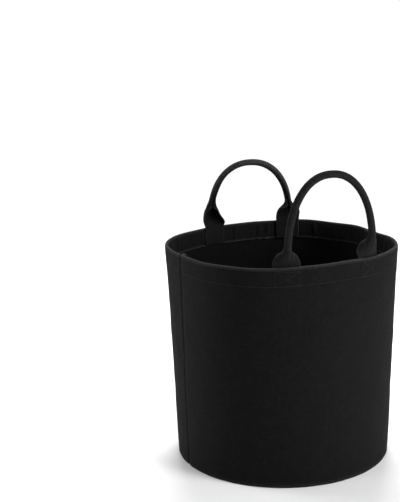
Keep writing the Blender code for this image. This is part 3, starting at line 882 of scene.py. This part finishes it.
def strap_section(width, rolled, ease):
    """(across, towards the slit) places of the strap's columns, worked out by bending it.

    The strap keeps its width: as it rolls, its edges tuck into the tube side by side.
    """
    at = np.linspace(0, width / 2, STRAP_COLUMNS // 2 * SECTION_STEPS + 1)
    flat_bend = width / RIM_RADIUS
    uniform = (flat_bend + (ROLLED_BEND - flat_bend) * rolled ** ease) / width
    roll_end = ROLL_RADIUS * ROLL_ARC
    tuck_end = roll_end + TUCK_RADIUS * TUCK_ARC
    tube = np.where(at < roll_end, 1 / ROLL_RADIUS, np.where(at < tuck_end, 1 / TUCK_RADIUS, 0.0))
    share = float(smoothstep((rolled - TUCK_START) / (1 - TUCK_START)))
    bend = uniform * (1 - share) + tube * share
    step = at[1]
    turn = running_total((bend[1:] + bend[:-1]) / 2 * step)
    middle_turn = (turn[1:] + turn[:-1]) / 2
    across = running_total(np.cos(middle_turn) * step)
    toward = running_total(np.sin(middle_turn) * step)
    across = np.where(turn > pi / 2, np.maximum(across, FELT / 2 + SLIT_GAP), across)
    centre = toward.mean() * (1 - share) + ROLL_RADIUS * share
    across, toward = across[::SECTION_STEPS], toward[::SECTION_STEPS] - centre
    return np.concatenate([-across[:0:-1], across]), np.concatenate([toward[:0:-1], toward])


def strap_path(handle, legs):
    """Middle points of the upright loop above the rim, from -X to +X, and its way at each."""
    rises = np.linspace(0.0, LEG_HEIGHT, 30)
    first, last = ([leg_point(rise, legs[side], handle) for rise in rises] for side in (-1, 1))
    start = arch_angle(LEG_HEIGHT)
    arch = [arch_point(angle, handle) for angle in np.linspace(start, pi - start, 122)[1:-1]]
    points = np.array(first + arch + last[::-1])
    along = unit(np.gradient(points, axis=0))
    upright = smoothstep((points[:, 2] + HINGE_HEIGHT) / UPRIGHT_LENGTH)[:, None]
    vertical = np.zeros_like(along)
    vertical[:, 2] = np.sign(along[:, 2])
    return points, unit(along * upright + vertical * (1 - upright))


def strap_axes(leg, way, rise, rolled, lean, axes):
    """The way across the strap and the way that its slit faces, at a rise above the rim.

    Across the strap is level where it leaves the hem, and follows the loop once it is rolled.
    """
    twist = leg["twist"] * float(smoothstep(rise / TWIST_LENGTH))
    twisted = leg["turn"] + twist
    turn_start = leg["roll_start"] + leg["roll_length"] - SLIT_TURN_LEAD
    turn_share = float(smoothstep((rise - turn_start) / SLIT_TURN_LENGTH))
    turn = twisted + (SLIT_TURN - twisted) * turn_share
    inner = np.array((way[2], 0.0, -way[0]))
    into = np.array((0.0, 1.0, 0.0))
    slit = inner * sin(turn) + into * cos(turn)
    lateral = inner * cos(turn) - into * sin(turn)
    tilt = np.array(Matrix.Rotation(lean * float(smoothstep(rise / BEND_LENGTH)), 3, "X"))
    lateral, slit, way = np.array((lateral, slit, way)) @ tilt.T @ axes
    level = turned(np.cross((0, 0, 1), tail_facing(leg["angle"])), leg["side"] * twist)
    level = level * np.sign(level @ lateral)
    free = float(smoothstep((rolled - 0.45) / 0.5))
    lateral = unit(lateral * free + level * (1 - free))
    facing = unit(np.cross(lateral, way))
    return lateral, facing * np.sign(facing @ slit)


def neck_folds(width, rise, rolled, side):
    """How far creases and wrinkles push the strap towards its slit where it is half rolled."""
    across = ACROSS_STRAP * width
    folds = relief(across, rise * 0.12 + side, NECK_WRINKLE_SIZE, NECK_SEED + side) * NECK_WRINKLE
    for place, depth in CREASES:
        folds = folds + CREASE_DEPTH * depth * bell(across * side - place * width, CREASE_WIDTH)
    return folds * bell(rolled - CREASED_AT, CREASED_SPAN)


def loop_row(handle, leg, origin, axes, centre, way):
    """One row across the strap above the rim: its points, its lightening from wear and painted
    highlight, and its slit if rolled.
    """
    rise = centre[2] + HINGE_HEIGHT
    rolled = float(np.clip((rise - leg["roll_start"]) / leg["roll_length"], 0, 1))
    narrowed = float(smoothstep(rise / NARROWING_LENGTH))
    width = handle["tail_width"] + (STRAP_WIDTH - handle["tail_width"]) * narrowed
    across, toward = strap_section(width, rolled, leg["roll_ease"])
    lateral, slit = strap_axes(leg, way, rise, rolled, handle["lean"], axes)
    middle = leaned(centre, handle["lean"]) @ axes + origin
    toward_slit = (toward + neck_folds(width, rise, rolled, leg["side"]))[:, None]
    row = middle + across[:, None] * lateral + toward_slit * slit
    parted = smoothstep((rise + 1 * MM) / PARTING_LENGTH)
    row = row * parted + tail_row(leg["angle"], rise, width, -leg["side"]) * (1 - parted)
    # The rolled loop's outer side, away from its slit, is lightened as it rolls: partly wear, partly a
    # painted highlight where the top of the loop catches the light, strongest on the back handle.
    outer = smoothstep(0.95 - toward / ROLL_RADIUS)
    wear_and_highlight = STRAP_WEAR + (handle["rubbed_and_highlighted"] - STRAP_WEAR) * rolled ** 3 * outer
    return row, wear_and_highlight, (middle + slit * SLIT_DEPTH, slit) if rolled == 1 else None


def make_strap(name, handle, material):
    """One strap, from one sewn-down tail over the arch to the other, and the slit of its roll."""
    origin, axes, legs = handle_frame(name, handle)
    points, ways = strap_path(handle, legs)
    sides = np.where(np.arange(len(points)) < len(points) / 2, -1, 1)
    loop = [loop_row(handle, legs[side], origin, axes, centre, way)
            for side, centre, way in zip(sides, points, ways)]
    rows, loop_wear_and_highlight, slits = (list(part) for part in zip(*loop))
    drops = np.linspace(TAIL_BOTTOM, 0, 27)[:-1]
    first, last = ([tail_row(legs[side]["angle"], drop, handle["tail_width"], -side)
                    for drop in drops] for side in (-1, 1))
    middle = np.array(first + rows + last[::-1])
    flat_wear = [np.full(STRAP_COLUMNS + 1, STRAP_WEAR)] * len(drops)
    edge_wear = 0.4 * bell((0.5 - np.abs(ACROSS_STRAP)) * STRAP_WIDTH, 1.0 * MM)
    wear_and_highlight = np.clip(np.array(flat_wear + loop_wear_and_highlight + flat_wear) + edge_wear, 0, 1)
    run = distances(middle[:, STRAP_COLUMNS // 2])
    cloth = np.stack(np.meshgrid(ACROSS_STRAP * STRAP_WIDTH, run + 0.7), axis=-1)
    height = RIM_HEIGHT + np.concatenate([drops, np.full(len(rows), 1.0), drops[::-1]])[:, None]
    from_stitches = box_lines(ACROSS_STRAP * handle["tail_width"], height - BOX_MIDDLE)
    thickness = FELT * (1 - (1 - SEWN_THICKNESS) * bell(from_stitches, 1.0 * MM))
    strap = felt_sheet(name + "_loop", middle, thickness, cloth, wear_and_highlight, material)
    return strap, run[-1], [slit for slit in slits if slit is not None]


def tail_facing(angle):
    """The way a strap's tail faces, into the bag."""
    return np.array((*wall_station(angle, RIM_HEIGHT)[1], 0.0))


def tail_row(angle, rise, width, way):
    """Middle points across a strap lying on the inside of the hem; way is its direction round."""
    across = ACROSS_STRAP * width * way
    height = RIM_HEIGHT + rise
    plan, inward = wall_station(angle + across / RIM_RADIUS, height)
    return np.column_stack([plan + inward * TAIL_DEPTH, np.full(len(across), height)])


def make_box_stitches(name, handle, end, side, material):
    """A box with a cross in it, sewn through tail, hem and wall, on both faces."""
    wide, tall = BOX_STITCH_WIDTH / 2, BOX_STITCH_HEIGHT / 2
    corners = [(-wide, -tall), (wide, -tall), (wide, tall), (-wide, tall)]
    lines = [(0, 1), (1, 2), (2, 3), (3, 0), (0, 2), (3, 1)]
    angle = handle[end]["angle"]
    stitches = []
    for inside in (False, True):
        for first, last in lines:
            line = np.linspace(corners[first], corners[last], 30)
            around = angle + line[:, 0] / RIM_RADIUS
            height = BOX_MIDDLE + line[:, 1]
            if inside:
                plan, inward = wall_station(around, height)
                flat = plan + inward * (TAIL_DEPTH + SEWN_THICKNESS * FELT / 2)
                path = np.column_stack([flat, height])
                facing = np.column_stack([inward, 0 * height])
            else:
                path, facing = wall_face(around - PANEL_TURN[side], height, side, False)
            stitches += stitch_run(path, facing, BOX_STITCH_LENGTH)
    return stitch_piece(name, stitches, material, proud=0.28 * MM)


def make_closing_stitches(name, slits, material):
    """Small stitches that hold the roll shut, one after another along its slit."""
    path, facing = (np.array(part) for part in zip(*slits))
    stitches = stitch_run(path, facing, CLOSING_STITCH_LENGTH)
    return stitch_piece(name, stitches, material, proud=0.1 * MM)


# ---- studio

# The camera's lens and sensor, in millimetres, and its place and turns, in metres and radians
SENSOR_SIZE = 36.0
LENS = 77.663187
CAMERA_DISTANCE = 1.4
CAMERA_HEIGHT = 0.58155
CAMERA_PITCH = 0.215924
CAMERA_YAW = 0.0751295
CAMERA_ROLL = -0.03
OBJECT_TURN = 0.513419
BACKGROUND = 1.05
FILL_LIGHT = 0.12
FLOOR_RADIUS = 1.45
LIGHT_TARGET = 0.2

# Softboxes: bearing from the camera's side of the bag, anticlockwise from above, and height
# above the floor, both in degrees; distance; width and height; power in watts.
SOFTBOXES = {
    "right_key": (60, 28, 1.9, (0.7, 0.9), 30),
    "right_front_strip": (50, 4, 1.7, (0.6, 0.55), 13),
    "right_strip": (95, 4, 1.7, (0.6, 0.55), 8),
    "left_strip": (-100, 4, 1.7, (0.6, 0.55), 17),
    "left_high": (-110, 28, 1.9, (0.7, 0.9), 9),
    "left_front": (-60, 28, 1.9, (0.7, 0.9), 6),
    "back_high": (180, 55, 1.9, (0.9, 0.9), 46),
}


def make_camera():
    """The photograph's view: 0.22 rad down on the bag, from the left of its front."""
    aim = Matrix.Rotation(CAMERA_YAW, 4, "Z") @ Matrix.Rotation(pi / 2 - CAMERA_PITCH, 4, "X")
    aim = aim @ Matrix.Rotation(CAMERA_ROLL, 4, "Z")
    place = Matrix.Translation((0.0, -CAMERA_DISTANCE, CAMERA_HEIGHT)) @ aim
    data = bpy.data.cameras.new("camera")
    data.sensor_width = SENSOR_SIZE
    data.lens = LENS
    data.clip_start = 0.05
    camera = bpy.data.objects.new("camera", data)
    camera.matrix_world = Matrix.Rotation(-OBJECT_TURN, 4, "Z") @ place
    bpy.context.scene.collection.objects.link(camera)
    bpy.context.scene.camera = camera


def add_softbox(name, bearing, climb, distance, size, power):
    """A softbox aimed at the middle of the bag; its bearing is as the camera sees it."""
    around, up = radians(bearing), radians(climb)
    place = Vector((cos(up) * sin(around), -cos(up) * cos(around), sin(up))) * distance
    target = Vector((0, 0, LIGHT_TARGET))
    spot = Matrix.Rotation(-OBJECT_TURN, 3, "Z") @ place + target
    data = bpy.data.lights.new(name, "AREA")
    data.shape = "RECTANGLE"
    data.size, data.size_y = size
    data.energy = power
    light = bpy.data.objects.new(name, data)
    light.location = spot
    light.rotation_euler = (target - spot).to_track_quat("-Z", "Y").to_euler()
    light.visible_camera = False
    bpy.context.scene.collection.objects.link(light)


def make_world():
    """White all round in the picture, and a little fill light from everywhere."""
    world = bpy.data.worlds.new("studio")
    world.use_nodes = True
    tree = world.node_tree
    seen = add_node(tree, "ShaderNodeLightPath").outputs["Is Camera Ray"]
    strength = remap(tree, seen, 0.0, 1.0, FILL_LIGHT, BACKGROUND)
    set_inputs(tree, tree.nodes["Background"], {"Color": (1, 1, 1, 1), "Strength": strength})
    bpy.context.scene.world = world


def make_studio():
    """The world, the softboxes and a white floor."""
    make_world()
    for name, settings in SOFTBOXES.items():
        add_softbox(name, *settings)
    bpy.ops.mesh.primitive_circle_add(vertices=128, radius=FLOOR_RADIUS, fill_type="NGON")
    floor = bpy.context.object
    floor.name = "floor"
    floor.data.materials.append(floor_material())
    bpy.context.scene.view_settings.view_transform = "Standard"


# ---- assembly

def sew_on(piece, body, slot, *nodes):
    """The piece moves with a body and stands for these CAD nodes."""
    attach(piece, body)
    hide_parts(*nodes)


def make_bag(felt, thread):
    """The two wall panels, the base and every seam between them."""
    for side in ("front", "back"):
        panel, flat = make_wall_panel(side, felt)
        sew_on(panel, "bag", "felt", f"wall_panel_{side}")
        rim = make_wall_stitches(f"{side}_rim_stitches", side, TOPSTITCH_DROP, thread)
        sew_on(rim, "bag", "thread", f"rim_topstitch_{side}")
        hem = make_wall_stitches(f"{side}_hem_stitches", side, HEM_STITCH_DROP, thread)
        sew_on(hem, "bag", "thread", f"hem_stitch_{side}")
    base, radius = make_base(felt)
    sew_on(base, "bag", "felt", "base_panel")
    seam = make_base_seam(thread)
    sew_on(seam, "bag", "thread", "base_seam_thread")
    for name, turn in (("right", 0.0), ("left", pi)):
        seam = make_side_seam(f"{name}_side_seam_stitches", turn, thread)
        sew_on(seam, "bag", "thread", f"side_seam_thread_{name}")


def make_handle(name, felt, thread):
    """One handle: its strap, the boxes that sew down its tails and the stitches along its slit."""
    handle = HANDLES[name]
    side = name.split("_")[0]
    strap, length, slits = make_strap(name, handle, felt)
    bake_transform(strap)
    nodes = [f"{name}_{part}_{end}" for part in ("tail", "flex") for end in ("left", "right")]
    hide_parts(f"{name}_strap", *nodes)
    for end in ("left", "right"):
        box = make_box_stitches(f"{name}_{end}_cross_stitches", handle, end, side, thread)
        sew_on(box, "bag", "thread", f"{name}_box_stitch_{end}")
    closing = make_closing_stitches(f"{name}_slit_stitches", slits, thread)
    sew_on(closing, name, "thread", f"{name}_closing_stitch")


make_camera()
make_studio()
# Each felt: dark and light fibres, the tone for worn places, which is also the painted highlight on
# folds, the hem's edge, seam corners and loop tops, and the sheen weight.
wall_felt = felt_material("black_felt", (0.0030, 0.0030, 0.0031), (0.0094, 0.0094, 0.0098),
                          (0.074, 0.074, 0.076), 0.015)
strap_felt = felt_material("black_strap_felt", (0.0032, 0.0032, 0.0033), (0.0100, 0.0100, 0.0104),
                           (0.066, 0.066, 0.068), 0.018)
sewing_thread = thread_material()
make_bag(wall_felt, sewing_thread)
for handle_name in HANDLES:
    make_handle(handle_name, strap_felt, sewing_thread)
